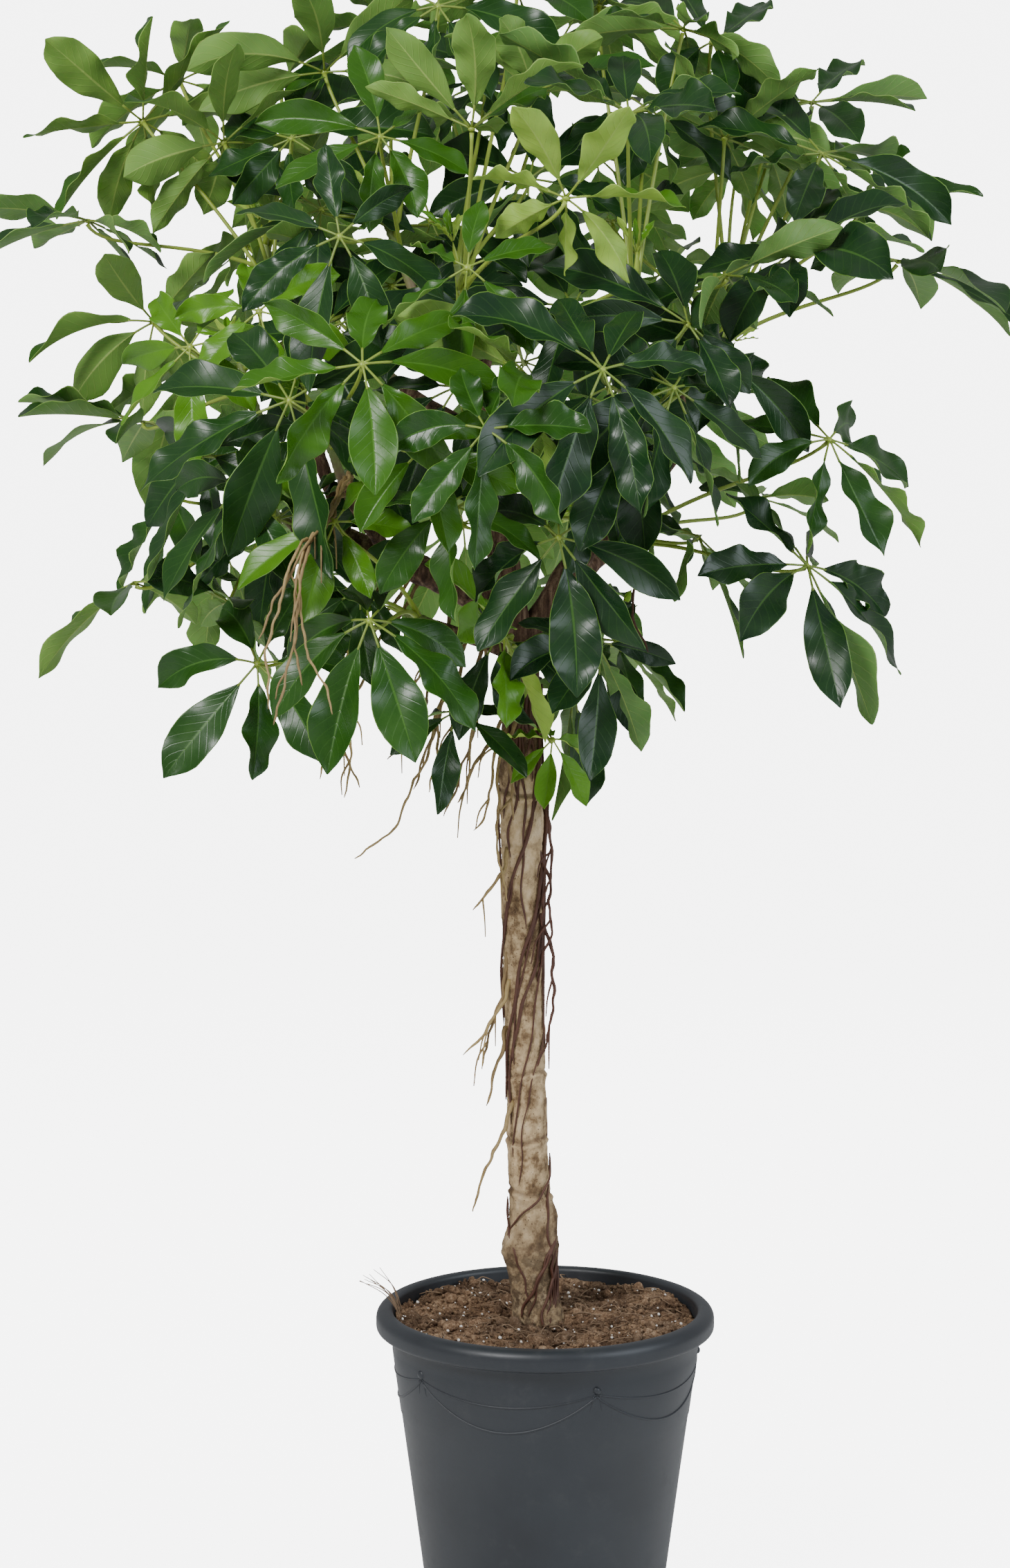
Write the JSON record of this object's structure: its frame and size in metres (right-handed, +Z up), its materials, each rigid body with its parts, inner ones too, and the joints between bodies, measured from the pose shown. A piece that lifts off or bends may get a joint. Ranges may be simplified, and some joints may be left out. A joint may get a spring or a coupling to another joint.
{
  "type": "potted umbrella plant",
  "caption": "Umbrella plant grown as a standard: a bare trunk in a round nursery pot of soil, with a round crown of palmate evergreen leaves.",
  "frame": {"origin": "on the floor, at the centre of the pot's flat base", "axes": "+Z up along the pot's axis, -Y towards the side that the picture shows, +X to its right"},
  "size_m": [1.0995, 0.9616, 1.7682],
  "materials": {
    "pot": "satin",
    "soil": "rough",
    "bark": "rough",
    "leaf": "glossy"
  },
  "bodies": {
    "root": {"pot": "pot", "soil": "soil", "trunk": "bark", "shoot_upper_left": "leaf", "shoot_left": "leaf", "shoot_front_left": "leaf", "shoot_top_left": "leaf", "shoot_top": "leaf", "shoot_top_right": "leaf", "shoot_right": "leaf", "shoot_lower_right": "leaf", "shoot_front_right": "leaf", "shoot_front": "leaf", "shoot_lower_left": "leaf", "shoot_low_front": "leaf", "shoot_low_right": "leaf", "shoot_low_left": "leaf", "shoot_back_left": "leaf", "shoot_back": "leaf", "shoot_back_right": "leaf", "shoot_low_back": "leaf"}
  },
  "joints": []
}
